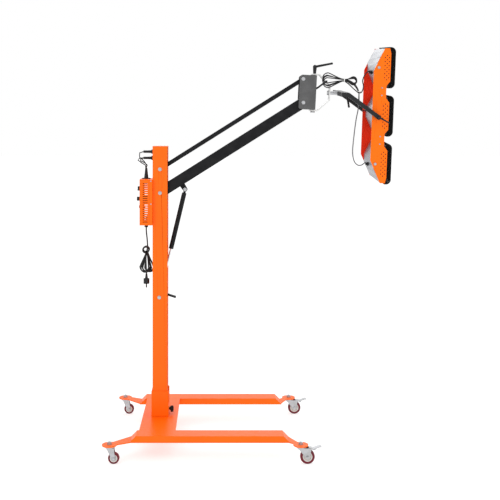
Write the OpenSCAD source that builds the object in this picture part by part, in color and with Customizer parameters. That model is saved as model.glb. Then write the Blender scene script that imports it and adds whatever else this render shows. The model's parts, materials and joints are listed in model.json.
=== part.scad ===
// Mobile paint-curing lamp: three infrared heads on a rolling stand with a parallelogram boom.
// +Z is up and +X points from the column towards the lamp. The floor is Z = 0.

/* [Chassis] */
// Column axis, measured from the origin under the middle of the machine's length
column_x = -424; // [-430:1:-418]
// Distance between the centre lines of the two base rails
rail_spacing = 560; // [520:5:600]
// Width of a base rail
rail_w = 80; // [70:1:90]
// Height of a base rail
rail_h = 30; // [26:1:36]
// Wall of the rails and of the caster tabs
rail_wall = 2.5; // [2:0.5:3]
// Height of the rails' top face above the floor
rail_top = 109; // [107:1:112]
// Rear end of a rail's top face, behind the column axis
rail_back = 90; // [85:1:95]
// Front end of a rail's top face, ahead of the column axis
rail_front = 563; // [540:1:580]
// Width of the folded plate that joins the rails
plate_w = 163; // [150:1:180]

/* [Casters] */
// Caster stem behind the column axis
stem_back = 202; // [195:1:210]
// Caster stem ahead of the column axis
stem_front = 636; // [625:1:645]
// Sideways distance from a rail's centre line to its caster stems
stem_out = 70; // [60:1:75]
// Thickness of a caster tab
tab_t = 5; // [4:0.5:6]
// Diameter of a front wheel
front_wheel_d = 64; // [60:1:64]
// Diameter of a rear wheel
rear_wheel_d = 50; // [48:1:54]
// Tread width of a wheel
wheel_w = 22; // [20:1:24]

/* [Column] */
// Column depth, front to back
column_d = 70; // [66:1:76]
// Column width, side to side
column_w = 90; // [86:1:96]
// Column sheet thickness
column_t = 2.5; // [2:0.5:3]
// Height of the column's top
column_top = 1383; // [1370:1:1400]
// Height of the boom's pivot
arm_pivot_z = 1162; // [1155:1:1170]
// Distance between the boom's pivot and the upper link's
link_gap = 112; // [108:1:116]

/* [Boom] */
// Boom length between pivots
arm_length = 800; // [780:1:820]
// Boom angle above the horizontal
arm_angle = 32.2; // [30:0.1:35]
// Boom tube, square
arm_w = 50; // [46:1:52]
// Upper link tube, square
link_w = 20; // [18:1:22]
// Wall of both tubes
arm_t = 2; // [1.5:0.5:2.5]
// Gas spring's lower pin, behind the column axis
spring_back = 3.5; // [0:0.5:6]
// Height of the gas spring's lower pin
spring_low = 670; // [660:1:680]
// Gas spring's upper pin, along the boom from its pivot
spring_along = 107; // [104:1:110]
// Gas spring's upper pin, below the boom's centre line
spring_below = 50; // [48:1:52]

/* [Head] */
// Forward lean of the head bracket
head_lean = 3; // [0:0.5:4]
// Turn of the yoke about its spindle, near side down
yoke_roll = 4.2; // [0:0.1:6]
// Turn of the lamp about its tilt pivots against the head bracket
lamp_tilt = -1.4; // [-3:0.1:3]
// Vertical swivel bolt, ahead of the boom's end pivot
swivel_x = 49; // [47:1:51]
// Roll spindle, above the boom's end pivot
roll_z = 54; // [52:1:56]
// Yoke's cross tube, ahead of the boom's end pivot
yoke_x = 180; // [175:1:185]
// Tilt pivots, ahead of the cross tube
tilt_forward = 157; // [150:1:165]
// Tilt pivots, below the cross tube
tilt_drop = 95; // [90:1:100]

/* [Lamp] */
// Distance over the lamp's two side panels
lamp_w = 290; // [270:2:310]
// Distance between neighbouring heads
head_pitch = 223; // [218:1:226]
// Height of a head's guard
guard_h = 190; // [180:1:196]
// Reach of the guard ahead of the tilt pivots
guard_reach = 72.5; // [70:0.5:76]
// Middle of the lamp above the tilt pivots
lamp_rise = 5; // [0:1:8]
// Side panel sheet thickness
panel_t = 2; // [1.5:0.5:2.5]

/* [Control box] */
// Control box depth behind the column
box_d = 60; // [56:1:64]
// Control box width
box_w = 120; // [110:2:130]
// Height of the control box
box_h = 216; // [210:2:222]
// Height of the control box's lower face
box_low = 1011; // [1005:1:1015]

/* [Cords] */
// Diameter of the mains cord
mains_d = 6.5; // [6:0.5:7]
// Diameter of a lamp lead
lead_d = 5; // [4.5:0.5:5]

/* [Hidden] */
$fn = 48;

// Finishes
orange = [1.0, 0.42, 0.04];
black = [0.07, 0.07, 0.075];
graphite = [0.25, 0.25, 0.26];
zinc = [0.75, 0.76, 0.78];
white = [0.9, 0.9, 0.9];

// Gaps: fit on a turning pin, between parts that turn past each other, and on a bolt in its plain hole
running = 0.05;
gap = 0.4;
plain = 0.2;

// Chassis
rail_y = rail_spacing / 2;
rail_low = rail_top - rail_h;
tab_r = 33;
stem_y = rail_y + stem_out;
tab_low = rail_low;
stem_r = 5;
socket_t = 5;
socket_h = 120;
socket_front = 12;                // lips of the socket round the column's front
lip = 12;                         // return lips of the column beside its front slot
plate_fold = 18;
screw_rise = 25;                  // the socket's clamp screw above the rails
clamp = [5, 76, 30];              // the plate that the screw pulls on, behind the column's lips

fork_crown = 9;                   // the fork's bridge hangs this far below its race
pedal_hinge = [38, 6.5];          // pedal pin: ahead of the stem and below the race
tyre_depth = 0.34;                // share of a wheel's radius that is tread

// Pins and bolts
arm_pin_r = 6;
link_pin_r = 5;
spring_pin_r = 5;
tilt_pin_r = 4;
sleeve_wall = 4;

// Boom
arm_end = [column_x + arm_length * cos(arm_angle), 0, arm_pivot_z + arm_length * sin(arm_angle)];
column_inner = column_w / 2 - column_t;
arm_over = 15;                    // the boom and the upper link run this far past their pivots
link_over = 12;
pivot_bolt_w = 13;                // across the flats of the boom's bolts
spring_top_x = column_x + spring_along * cos(arm_angle) + spring_below * sin(arm_angle);
spring_top_z = arm_pivot_z + spring_along * sin(arm_angle) - spring_below * cos(arm_angle);
spring_low_x = column_x - spring_back;
spring_run = norm([spring_top_x - spring_low_x, spring_top_z - spring_low]);
spring_lean = atan2(spring_top_x - spring_low_x, spring_top_z - spring_low);
cylinder_r = 11;
cylinder_len = 290;
cylinder_wall = 1.6;
rod_r = 5;
piston_z = spring_run - cylinder_len + 100;

// Head bracket, in its own frame: the boom's end pivot is the origin
bracket_back = -22;
bracket_front = 57.5;
bracket_low = -30;
bracket_high = 132;
bracket_w = 74;
bracket_t = 3;
bracket_r = 14;
strap_t = 5;
strap_w = 44;
strap_back = 33;
strap_front = 126;
strap_low = bracket_low - 1 - strap_t;
strap_high = bracket_high + 3 + strap_t;
strap_chamfer = 54;
swivel_r = 6;
spindle_r = 6;
upper_bolt = [-link_gap * sin(head_lean), link_gap * cos(head_lean)];

// Yoke and lamp, in the lamp's frame: u forward, v up, origin between the tilt pivots
yoke_deep = 36;                   // the cross tube, front to back
yoke_high = 20;                   // the cross tube and the arms, top to bottom
yoke_wide = 25;                   // an arm, side to side
yoke_eye_r = 11;                  // the boss at an arm's end, round the tilt pivot
yoke_arm_gap = 6;                 // between a yoke arm and the side panel beside it
yoke_arm_y = lamp_w / 2 + yoke_arm_gap + yoke_wide / 2;
panel_back = -27;
panel_front = 50;
panel_half = 312;
chamfer_u = 48;
chamfer_v = 105;
notch_half = 29;
notch_u = 16;
notch_v = 20;
vent_r = 2.75;
vent_pitch = 18.5;
vent_u = 33;
vent_side = 9.4;
housing_t = 1.2;
housing_w = lamp_w - 2 * panel_t - 1;
emitter_u = 26;
emitter_r = 5.5;
emitter_len = 250;
housing_back = -12;
head_v = [-head_pitch, 0, head_pitch];

// Height of the gland on the back of the head whose middle is at v
function gland_v(v) = v == 0 ? 20 : v + (v > 0 ? -20 : -12);

// Control box
box_back = column_x - column_d / 2 - box_d;
box_face = column_x - column_d / 2;
box_top = box_low + box_h;
box_t = 1.5;
tray_d = 14;
switch_z = 1181;
timer_z = 1132;
fuse_z = 1094;
rocker_in = 3;                    // the rocker turns this far inside its bezel's face
cord_x = column_x - 68;           // the cords leave the box's ends here
gland_len = 14;
sleeve_len = 50;

// Route of the mains cord from its gland to the hank, along the middle plane
mains_route = [
    [-492, 0, 997], [-492, 0, 985], [-491, 0, 970], [-489, 0, 950], [-488, 0, 930], [-492, 0, 904]
];
hank_t = 50;
mains_tie = [-489.5, 0, 873];
mains_tie_w = 14;
mains_hank_ends = [[-4, -69, 26], [6, 14, 18]];   // middle and radius of its two ends, from the tie
plug_top = [-489.5, -21, 780];

// Routes of the three leads from the sleeve on the box to the glands on the column
lead_routes = [
    [[-492, 0, 1279], [-490, 2, 1292], [-503, 8, 1310], [-525, 10, 1330], [-524, 6, 1350], [-505, 0, 1356]],
    [[-494, -3, 1279], [-496, -4, 1292], [-515, -8, 1304], [-531, -9, 1316], [-524, -6, 1325],
        [-505, -2, 1327]],
    [[-492, 4, 1279], [-488, 8, 1292], [-500, 14, 1302], [-520, 16, 1312], [-520, 10, 1321], [-505, 2, 1325]]
];
column_gland_z = [1356, 1326];
column_gland_len = 46;

// Routes of the lamp leads, in the frame of the head bracket
feed_route = [[40, -14, 62], [62, -16, 70], [80, -24, 86], [94, -32, 100]];
trunk_route = [[238, -38, 116], [250, -36, 106], [258, -28, 92], [262, -20, 76], [263, -14, 62]];
top_lead = [
    [263, -14, 62], [272, -12, 62], [280, -10, 74], [283, -8, 95], [278, -8, 118],
    [282, -8, 136], [292, -9, 156], [304, -10, 166]
];
middle_lead = [[263, -14, 62], [265, -10, 38], [268, -6, 12], [276, 0, -12], [290, 4, -22], [307, 5, -22]];
bottom_lead = [
    [263, -14, 62], [262, -18, 30], [262, -20, -16], [255, -18, -68], [250, -14, -140], [248, -6, -212],
    [254, 4, -248], [264, 12, -270], [280, 18, -283], [298, 22, -282], [313, 24, -271]
];
lead_tie = [185, -38, 116];
lead_tie_h = 12;
tie_w = 4.5;
lead_hank_ends = [[-55, -5, 26], [38, 1, 18]];    // middle and radius of its two ends, from the tie
lead_hank_t = 28;

// ---- Shared shapes ----

// A hexagonal prism along +Z
module hexagon(across, h) {
    cylinder(d = across / cos(30), h = h, $fn = 6);
}

// A hollow square tube along +X, from x0 to x1
module square_tube(w, t, x0, x1) {
    translate([x0, 0, 0])
        rotate([90, 0, 90])
            linear_extrude(x1 - x0)
                difference() {
                    square(w, center = true);
                    square(w - 2 * t, center = true);
                }
}

// A cylinder along Y, centred on y = 0
module cross_pin(r, length) {
    rotate([90, 0, 0])
        cylinder(r = r, h = length, center = true);
}

// A bolt along Y through the middle plane: its head on one side and its nut on the other
module cross_bolt(r, grip, across) {
    head = r * 1.1;
    cross_pin(r, grip);
    for (side = [-1, 1])
        translate([0, side * grip / 2, 0])
            rotate([side * -90, 0, 0]) {
                cylinder(r = across * 0.68, h = 1.6);
                hexagon(across, head + 1.6);
            }
}

// A flat sheet with this side view, t thick and centred on the middle plane
module sheet_outline(points, t) {
    rotate([90, 0, 0])
        linear_extrude(t, center = true)
            polygon(points);
}

function unit(v) = v / norm(v);
function along(p, i) = unit(p[min(i + 1, len(p) - 1)] - p[max(i - 1, 0)]);
function ring(p, i, r, sides) =
    let (t = along(p, i), a = unit(cross(t, [0.01, 1, 0.02])), b = cross(t, a))
    [for (k = [0:sides - 1]) p[i] + r * (cos(360 * k / sides) * a + sin(360 * k / sides) * b)];

// A round cord along a route's own points
module cord(route, d, sides = 8) {
    n = len(route);
    points = [for (i = [0:n - 1]) each ring(route, i, d / 2, sides)];
    start = [for (k = [0:sides - 1]) k];
    finish = [for (k = [0:sides - 1]) n * sides - 1 - k];
    walls = [
        for (i = [0:n - 2], k = [0:sides - 1])
            let (next = (k + 1) % sides)
            [i * sides + k, (i + 1) * sides + k, (i + 1) * sides + next, i * sides + next]
    ];
    polyhedron(points, concat([start], [finish], walls));
}

// ---- Frames ----

// The frame of the head bracket, leaning forward about the boom's end pivot
module at_bracket() {
    translate(arm_end)
        rotate([0, head_lean, 0])
            children();
}

// The frame of the yoke, turned about the roll spindle
module at_yoke() {
    at_bracket()
        translate([0, 0, roll_z])
            rotate([yoke_roll, 0, 0])
                children();
}

// The frame of the lamp, turned about the tilt pivots
module at_lamp() {
    at_yoke()
        translate([yoke_x + tilt_forward, 0, -tilt_drop])
            rotate([0, lamp_tilt, 0])
                children();
}

// The frame of the boom: +X runs along it from its pivot
module at_arm(z) {
    translate([column_x, 0, z])
        rotate([0, -arm_angle, 0])
            children();
}

// The frame of the gas spring: +Z runs along it from its lower pin
module at_spring() {
    translate([spring_low_x, 0, spring_low])
        rotate([0, spring_lean, 0])
            children();
}

// ---- Chassis ----

// Side view of a rail, inset by t
module rail_side(t) {
    polygon([
        [-rail_back + t * 0.42, rail_top - t],
        [rail_front - t * 0.42, rail_top - t],
        [rail_front + rail_h - t * 2.42, rail_low + t],
        [-rail_back - rail_h + t * 2.42, rail_low + t]
    ]);
}

// A flat tab from the rail's end out to a caster stem; dir is -1 at the back and +1 at the front
module caster_tab(dir, x_end, x_stem) {
    root = rail_w / 2;
    difference() {
        linear_extrude(tab_t) {
            polygon([
                [x_end, -root], [x_end, root],
                [x_stem + dir * tab_r * 0.55, stem_out + tab_r * 0.835],
                [x_stem - dir * tab_r * 0.35, stem_out - tab_r * 0.937]
            ]);
            translate([x_stem, stem_out])
                circle(tab_r);
        }
        translate([x_stem, stem_out, -1])
            cylinder(r = stem_r + plain, h = tab_t + 2);
    }
}

// One base rail on its own centre line, with its tabs splayed to +Y
module rail() {
    rotate([90, 0, 0])
        difference() {
            linear_extrude(rail_w, center = true)
                rail_side(0);
            linear_extrude(rail_w - 2 * rail_wall, center = true)
                rail_side(rail_wall);
        }
    translate([0, 0, tab_low]) {
        caster_tab(-1, -rail_back - rail_h + 8, -stem_back);
        caster_tab(1, rail_front + rail_h - 8, stem_front);
    }
}

module left_rail() {
    color(orange)
        translate([column_x, rail_y, 0])
            rail();
}

module right_rail() {
    color(orange)
        translate([column_x, -rail_y, 0])
            mirror([0, 1, 0])
                rail();
}

// The folded plate between the rails, with its edges turned down
module cross_plate() {
    between = rail_spacing - rail_w - 1;
    color(orange)
        translate([column_x - plate_w / 2, -between / 2, rail_top - plate_fold])
            difference() {
                cube([plate_w, between, plate_fold]);
                translate([rail_wall, rail_wall, -1])
                    cube([plate_w - 2 * rail_wall, between - 2 * rail_wall, plate_fold + 1 - rail_wall]);
            }
}

// The socket that holds the column's foot, welded to the folded plate
module column_socket() {
    outer_x = column_d / 2 + plain + socket_t;
    outer_y = column_w / 2 + plain + socket_t;
    color(orange)
        translate([column_x, 0, rail_top])
            difference() {
                translate([-outer_x, -outer_y, 0])
                    cube([2 * outer_x, 2 * outer_y, socket_h]);
                translate([-column_d / 2 - plain, -column_w / 2 - plain, -1])
                    cube([column_d + 2 * plain, column_w + 2 * plain, socket_h + 2]);
                translate([column_d / 2, -column_w / 2 + socket_front, 45])
                    cube([2 * socket_t, column_w - 2 * socket_front, socket_h]);
                translate([0, 0, screw_rise])
                    rotate([0, 90, 0])
                        cylinder(r = stem_r + running, h = column_d);
            }
}

// The channel column: closed behind and beside, with a slot between lips in front
module column() {
    d = column_d / 2;
    w = column_w / 2;
    height = column_top - rail_top;
    slot = w - column_t - lip;
    color(orange)
        difference() {
            translate([column_x - d, -w, rail_top])
                cube([column_d, column_w, height]);
            translate([column_x - d + column_t, -w + column_t, rail_top - 1])
                cube([column_d - 2 * column_t, column_w - 2 * column_t, height + 1 - column_t]);
            translate([column_x, -slot, rail_top - 1])
                cube([column_d, 2 * slot, height + 1 - column_t]);
            for (z = [arm_pivot_z, arm_pivot_z + link_gap])
                translate([column_x, 0, z])
                    cross_pin((z == arm_pivot_z ? arm_pin_r : link_pin_r) + plain, 2 * column_w);
            translate([spring_low_x, 0, spring_low])
                cross_pin(spring_pin_r + plain, 2 * column_w);
            for (z = column_gland_z)
                translate([column_x - column_d, 0, z])
                    rotate([0, 90, 0])
                        cylinder(r = 6 + plain, h = column_d);
        }
}

// One caster's stem bolt: nut and washers over the tab, and a king pin under it for the fork
module caster_stem() {
    king = 4 + 3 * gap + fork_crown;
    translate([0, 0, -king - 3])
        cylinder(r = stem_r, h = king + 3 + tab_t + 12);
    translate([0, 0, tab_t])
        cylinder(r = 11, h = 1.8);
    translate([0, 0, tab_t + 1.8])
        hexagon(17, 7.5);
    translate([0, 0, -4])
        cylinder(r = 17, h = 4);
    translate([0, 0, -king - 3])
        cylinder(r = 8, h = 3);
}

// Pivot bolts through the column, caster stems, clamp plate and small screws
module chassis_bolts() {
    color(zinc) {
        for (x = [-stem_back, stem_front], y = [-stem_y, stem_y])
            translate([column_x + x, y, tab_low])
                caster_stem();
        for (z = [712, 774, 926])
            translate([box_face, 0, z])
                rotate([0, -90, 0])
                    cylinder(r1 = 4.5, r2 = 3, h = 2);
        translate([column_x + column_d / 2 - column_t - clamp[0] / 2, 0, rail_top + screw_rise])
            difference() {
                cube(clamp, center = true);
                rotate([0, 90, 0])
                    cylinder(r = stem_r + running, h = 2 * clamp[0], center = true);
            }
        translate([column_x, 0, arm_pivot_z])
            cross_bolt(arm_pin_r, column_w, pivot_bolt_w);
        translate([column_x, 0, arm_pivot_z + link_gap])
            cross_bolt(link_pin_r, column_w, pivot_bolt_w);
        translate([spring_low_x, 0, spring_low])
            cross_bolt(spring_pin_r, column_w, 13);
        for (y = [-1, 1], z = [box_low + 100, box_top - 8])
            translate([box_face - tray_d / 2, y * (box_w / 2 + box_t), z])
                rotate([y * -90, 0, 0])
                    cylinder(r1 = 4, r2 = 2.5, h = 2);
    }
}

// The three-lobed clamp screw at the column's foot
module socket_knob() {
    face = column_x + column_d / 2 + plain + socket_t;
    lobe_out = 10.5;
    lobe_r = 6;
    color(black)
        translate([face, 0, rail_top + screw_rise])
            rotate([0, 90, 0]) {
                translate([0, 0, -socket_t - 12])
                    cylinder(r = stem_r, h = socket_t + 19);
                translate([0, 0, 4])
                    cylinder(r = 9, h = 18);
                for (a = [90, 210, 330])
                    rotate(a)
                        translate([lobe_out, 0, 8])
                            cylinder(r = lobe_r, h = 13);
            }
}

// ---- Casters ----

function caster_x(front) = column_x + (front ? stem_front : -stem_back);
function trail(front) = front ? 29 : 19;
function wheel_r(front) = (front ? front_wheel_d : rear_wheel_d) / 2;

// Fork, swivel race and axle bolt of one caster; a front one also carries its pedal's hinge pin
module fork(front, side) {
    r = wheel_r(front);
    crown = tab_low - 4 - gap;
    leg_in = wheel_w / 2 + 1.4;
    leg_t = 2.5;
    leg_y = leg_in + leg_t / 2;
    leg_front = front ? pedal_hinge[0] + 6 : trail(front) + 2;
    color(zinc)
        translate([caster_x(front), side * stem_y, 0]) {
            difference() {
                union() {
                    translate([0, 0, crown - 5])
                        cylinder(r = 19, h = 5);
                    translate([-12, -leg_in - leg_t, crown - fork_crown])
                        cube([trail(front) + 6, 2 * (leg_in + leg_t), 4]);
                    for (y = [-leg_y, leg_y])
                        translate([0, y, 0]) {
                            sheet_outline([
                                [-12, crown - 4], [leg_front, crown - 4], [leg_front, crown - 16],
                                [trail(front) + 9, r], [trail(front) - 8.5, r - 3]
                            ], leg_t);
                            translate([trail(front), 0, r])
                                cross_pin(9, leg_t);
                        }
                }
                translate([0, 0, crown - 20])
                    cylinder(r = stem_r + running, h = 30);
            }
            translate([trail(front), 0, r])
                cross_bolt(4, 2 * (leg_in + leg_t), 11);
            if (front)
                translate([pedal_hinge[0], 0, crown - pedal_hinge[1]])
                    cross_pin(2, 2 * (leg_in + leg_t) + 2);
        }
}

module tyre(front, side) {
    r = wheel_r(front);
    core = r * (1 - tyre_depth);
    color([0.35, 0.04, 0.07])
        translate([caster_x(front) + trail(front), side * stem_y, r])
            rotate([90, 0, 0])
                rotate_extrude($fn = 64)
                    polygon([
                        [core, -wheel_w / 2 + 1.5], [r - 4, -wheel_w / 2], [r - 1, -wheel_w / 2 + 2],
                        [r, -wheel_w / 2 + 6], [r, wheel_w / 2 - 6], [r - 1, wheel_w / 2 - 2],
                        [r - 4, wheel_w / 2], [core, wheel_w / 2 - 1.5]
                    ]);
}

module hub(front, side) {
    r = wheel_r(front);
    core = r * (1 - tyre_depth);
    color([0.8, 0.78, 0.76])
        translate([caster_x(front) + trail(front), side * stem_y, r])
            rotate([90, 0, 0])
                rotate_extrude($fn = 64)
                    polygon([
                        [4 + running, -wheel_w / 2 - 1], [10, -wheel_w / 2 - 1], [10, -5], [core - 4, -5],
                        [core - 4, -wheel_w / 2 + 1.5], [core, -wheel_w / 2 + 1.5], [core, wheel_w / 2 - 1.5],
                        [core - 4, wheel_w / 2 - 1.5], [core - 4, 5], [10, 5], [10, wheel_w / 2 + 1],
                        [4 + running, wheel_w / 2 + 1]
                    ]);
}

// A total-lock pedal: a pressed sheet over the front wheel, hinged between the fork's legs
module brake_pedal(side) {
    width = 2 * (wheel_w / 2 + 1.4) - 2 * gap;
    z = tab_low - 4 - gap - pedal_hinge[1];
    reach = pedal_hinge[0];
    color(zinc)
        translate([caster_x(true), side * stem_y, z])
            difference() {
                union() {
                    sheet_outline([
                        [reach, 0], [58, -3], [83, 6.5], [90, 5.5], [90, 8.5],
                        [82, 10], [57, 1], [reach, 4]
                    ], width);
                    sheet_outline([[reach, -3.5], [65, -9], [65, -6.5], [reach, 0]], 14);
                    translate([reach, 0, 0])
                        cross_pin(4, width);
                }
                translate([reach, 0, 0])
                    cross_pin(2 + running, 2 * width);
            }
}

// ---- Control box ----

module control_tray() {
    color(orange)
        translate([box_face - tray_d, 0, box_low]) {
            difference() {
                translate([0, -box_w / 2 - box_t, 0])
                    cube([tray_d, box_w + 2 * box_t, box_h]);
                translate([-1, -box_w / 2, box_t])
                    cube([tray_d + 1 - box_t, box_w, box_h - 2 * box_t]);
            }
        }
}

// The cover with its louvres and the holes for the switch, timer, fuse and cords
module control_cover() {
    louvres = 19;
    cover_d = box_d - tray_d;
    color(orange)
        difference() {
            translate([box_back, -box_w / 2, box_low])
                cube([cover_d, box_w, box_h]);
            translate([box_back + box_t, -box_w / 2 + box_t, box_low + box_t])
                cube([cover_d, box_w - 2 * box_t, box_h - 2 * box_t]);
            for (i = [0:louvres - 1])
                translate([box_back + 14, -box_w, box_low + 14 + i * 10])
                    cube([24, 2 * box_w, 3.5]);
            translate([box_back - 1, -10.5, switch_z - 14])
                cube([4, 21, 28]);
            translate([box_back - 1, 0, timer_z])
                rotate([0, 90, 0])
                    cylinder(r = 3.2, h = 4);
            translate([box_back - 1, 0, fuse_z])
                rotate([0, 90, 0])
                    cylinder(r = 5.2, h = 4);
            translate([cord_x, 0, box_low - 1])
                cylinder(r = 5.2, h = 4);
            translate([cord_x, 0, box_top - 3])
                cylinder(r = 8.2, h = 4);
        }
}

// The power board, its terminal block and the timer's body with the knob's shaft in it
module control_board() {
    color([0.1, 0.35, 0.2])
        difference() {
            union() {
                translate([box_face - tray_d + 3, -50, box_low + 12])
                    cube([1.6, 100, 150]);
                translate([box_face - tray_d - 18, -40, box_low + 20])
                    cube([21, 80, 18]);
                translate([box_back + 6, -22, timer_z - 22])
                    cube([34, 44, 36]);
            }
            translate([box_back + 5, 0, timer_z])
                rotate([0, 90, 0])
                    cylinder(r = 3 + running, h = 12);
        }
}

// The switch's body in the cover, with its bezel and the pocket for the rocker
module switch_housing() {
    color(black)
        translate([box_back, 0, switch_z])
            difference() {
                union() {
                    translate([-2, -13, -15.5])
                        cube([2, 26, 31]);
                    translate([0, -10, -13.5])
                        cube([18, 20, 27]);
                }
                translate([-3, -8.8, -12.3])
                    cube([11, 17.6, 24.6]);
                translate([-1 + rocker_in, 0, 0])
                    cross_pin(1.2 + running, 30);
            }
}

module rocker_switch() {
    color(black)
        translate([box_back - 1 + rocker_in, 0, switch_z]) {
            sheet_outline([
                [-14 - rocker_in, -9], [-12 - rocker_in, 0], [-12.5 - rocker_in, 9], [-3 - rocker_in, 10.8],
                [1, 10.8], [1, -10.8], [-3 - rocker_in, -10.8]
            ], 16.8);
            cross_pin(1.2, 19.6);
        }
}

module timer_knob() {
    color(black)
        translate([box_back - 17, 0, timer_z])
            rotate([0, 90, 0]) {
                cylinder(r = 9.5, h = 12);
                translate([0, 0, 12])
                    cylinder(r = 11, h = 5 - gap);
                cylinder(r = 3, h = 30);
            }
}

module fuse_cap() {
    color(black)
        translate([box_back, 0, fuse_z])
            rotate([0, 90, 0]) {
                translate([0, 0, -7])
                    cylinder(r = 6.5, h = 7);
                cylinder(r = 5, h = 22);
            }
}

// The mains gland, the tall strain relief on the box's top and the two glands on the column
module cable_glands() {
    color(black) {
        translate([cord_x, 0, box_top]) {
            cylinder(r = 20, h = 4);
            translate([0, 0, 4])
                cylinder(r1 = 10.5, r2 = 5, h = sleeve_len - 2);
            translate([0, 0, -8])
                cylinder(r = 8, h = 8);
        }
        translate([cord_x, 0, box_low - gland_len])
            difference() {
                union() {
                    hexagon(15, 7);
                    cylinder(r1 = 5, r2 = 7, h = gland_len);
                    cylinder(r = 5, h = gland_len + 8);
                }
                translate([0, 0, -1])
                    cylinder(r = mains_d / 2 + 0.05, h = 40);
            }
        for (z = column_gland_z)
            translate([box_face - column_gland_len, 0, z])
                rotate([0, 90, 0])
                    difference() {
                        union() {
                            cylinder(r1 = 5, r2 = 7, h = column_gland_len - 8);
                            translate([0, 0, column_gland_len - 8])
                                hexagon(18, 8);
                            cylinder(r = 6, h = column_gland_len + 8);
                        }
                        translate([0, 0, 6])
                            cylinder(r = 3.5, h = column_gland_len + 10);
                    }
    }
}

// ---- Boom ----

// The boom tube with its pivot sleeves and the gas spring's two lugs
module main_arm() {
    lug = 4;
    lug_gap = 7;
    color(black)
        at_arm(arm_pivot_z)
            difference() {
                union() {
                    square_tube(arm_w, arm_t, -arm_over, arm_length + arm_over);
                    cross_pin(arm_pin_r + sleeve_wall, 2 * column_inner - 2 * gap);
                    translate([arm_length, 0, 0])
                        cross_pin(arm_pin_r + sleeve_wall, bracket_w - 2 * bracket_t - 2 * gap);
                    for (side = [-1, 1])
                        translate([0, side * (lug_gap + lug / 2), 0]) {
                            sheet_outline([
                                [spring_along - 13, -arm_w / 2 + 1], [spring_along + 12, -arm_w / 2 + 1],
                                [spring_along + 10.5, -spring_below], [spring_along - 10.5, -spring_below]
                            ], lug);
                            translate([spring_along, 0, -spring_below])
                                cross_pin(11, lug);
                        }
                }
                cross_pin(arm_pin_r + running, 2 * column_w);
                translate([arm_length, 0, 0])
                    cross_pin(arm_pin_r + running, 2 * column_w);
                translate([spring_along, 0, -spring_below])
                    cross_pin(spring_pin_r + plain, 2 * column_w);
            }
}

module upper_link() {
    color(black)
        at_arm(arm_pivot_z + link_gap)
            difference() {
                union() {
                    square_tube(link_w, arm_t, -link_over, arm_length + link_over);
                    cross_pin(link_pin_r + 3.4, 2 * column_inner - 2 * gap);
                    translate([arm_length, 0, 0])
                        cross_pin(link_pin_r + 3.4, bracket_w - 2 * bracket_t - 2 * gap);
                }
                cross_pin(link_pin_r + running, 2 * column_w);
                translate([arm_length, 0, 0])
                    cross_pin(link_pin_r + running, 2 * column_w);
            }
}

module spring_pin() {
    color(zinc)
        at_arm(arm_pivot_z)
            translate([spring_along, 0, -spring_below])
                cross_bolt(spring_pin_r, 22, 13);
}

// The gas spring's cylinder, hung by its eye from the boom's lugs
module spring_cylinder() {
    bottom = spring_run - cylinder_len;
    color(black)
        at_spring()
            difference() {
                union() {
                    translate([0, 0, bottom])
                        cylinder(r = cylinder_r, h = cylinder_len - 18);
                    translate([0, 0, spring_run - 20])
                        cylinder(r = 6, h = 14);
                    translate([0, 0, spring_run])
                        cross_pin(10, 13);
                }
                translate([0, 0, bottom + 18])
                    cylinder(r = cylinder_r - cylinder_wall, h = cylinder_len - 18 - 18 - 4);
                translate([0, 0, bottom - 1])
                    cylinder(r = rod_r + running, h = 30);
                translate([0, 0, spring_run])
                    cross_pin(spring_pin_r + running, 40);
            }
}

// The spring's rod and piston, with the release head that straddles the lower pin
module spring_rod() {
    shift = 2.6;                  // middle of the lower pin's travel in its slot
    half = 3.6;
    room = spring_pin_r + 2.2;
    color(zinc)
        at_spring()
            difference() {
                union() {
                    translate([0, 0, 20])
                        cylinder(r = rod_r, h = piston_z - 20);
                    translate([0, 0, piston_z - 12])
                        cylinder(r = cylinder_r - cylinder_wall - running, h = 12);
                    translate([shift - 14, -9, -11])
                        cube([28, 18, 43]);
                }
                for (x = [-half, half])
                    translate([shift + x, 0, 0])
                        cross_pin(room, 40);
                translate([shift - half, -20, -room])
                    cube([2 * half, 40, 2 * room]);
                translate([shift - 20, -4, 11])
                    cube([40, 8, 14]);
                translate([shift, 0, 18])
                    cross_pin(2.5 + running, 40);
            }
}

// The spring's release lever, hinged in the slot of the release head
module release_lever() {
    color(black)
        translate([spring_low_x, 0, spring_low])
            rotate([0, spring_lean, 0])
                translate([2.6, 0, 18]) {
                    cross_pin(2.5, 21);
                    rotate([0, 17.5 - spring_lean, 0]) {
                        translate([-8, -3.6, -4.5])
                            cube([50, 7.2, 9]);
                        translate([38, -9, -5.5])
                            cube([36, 18, 9]);
                    }
                }
}

// ---- Head ----

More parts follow.
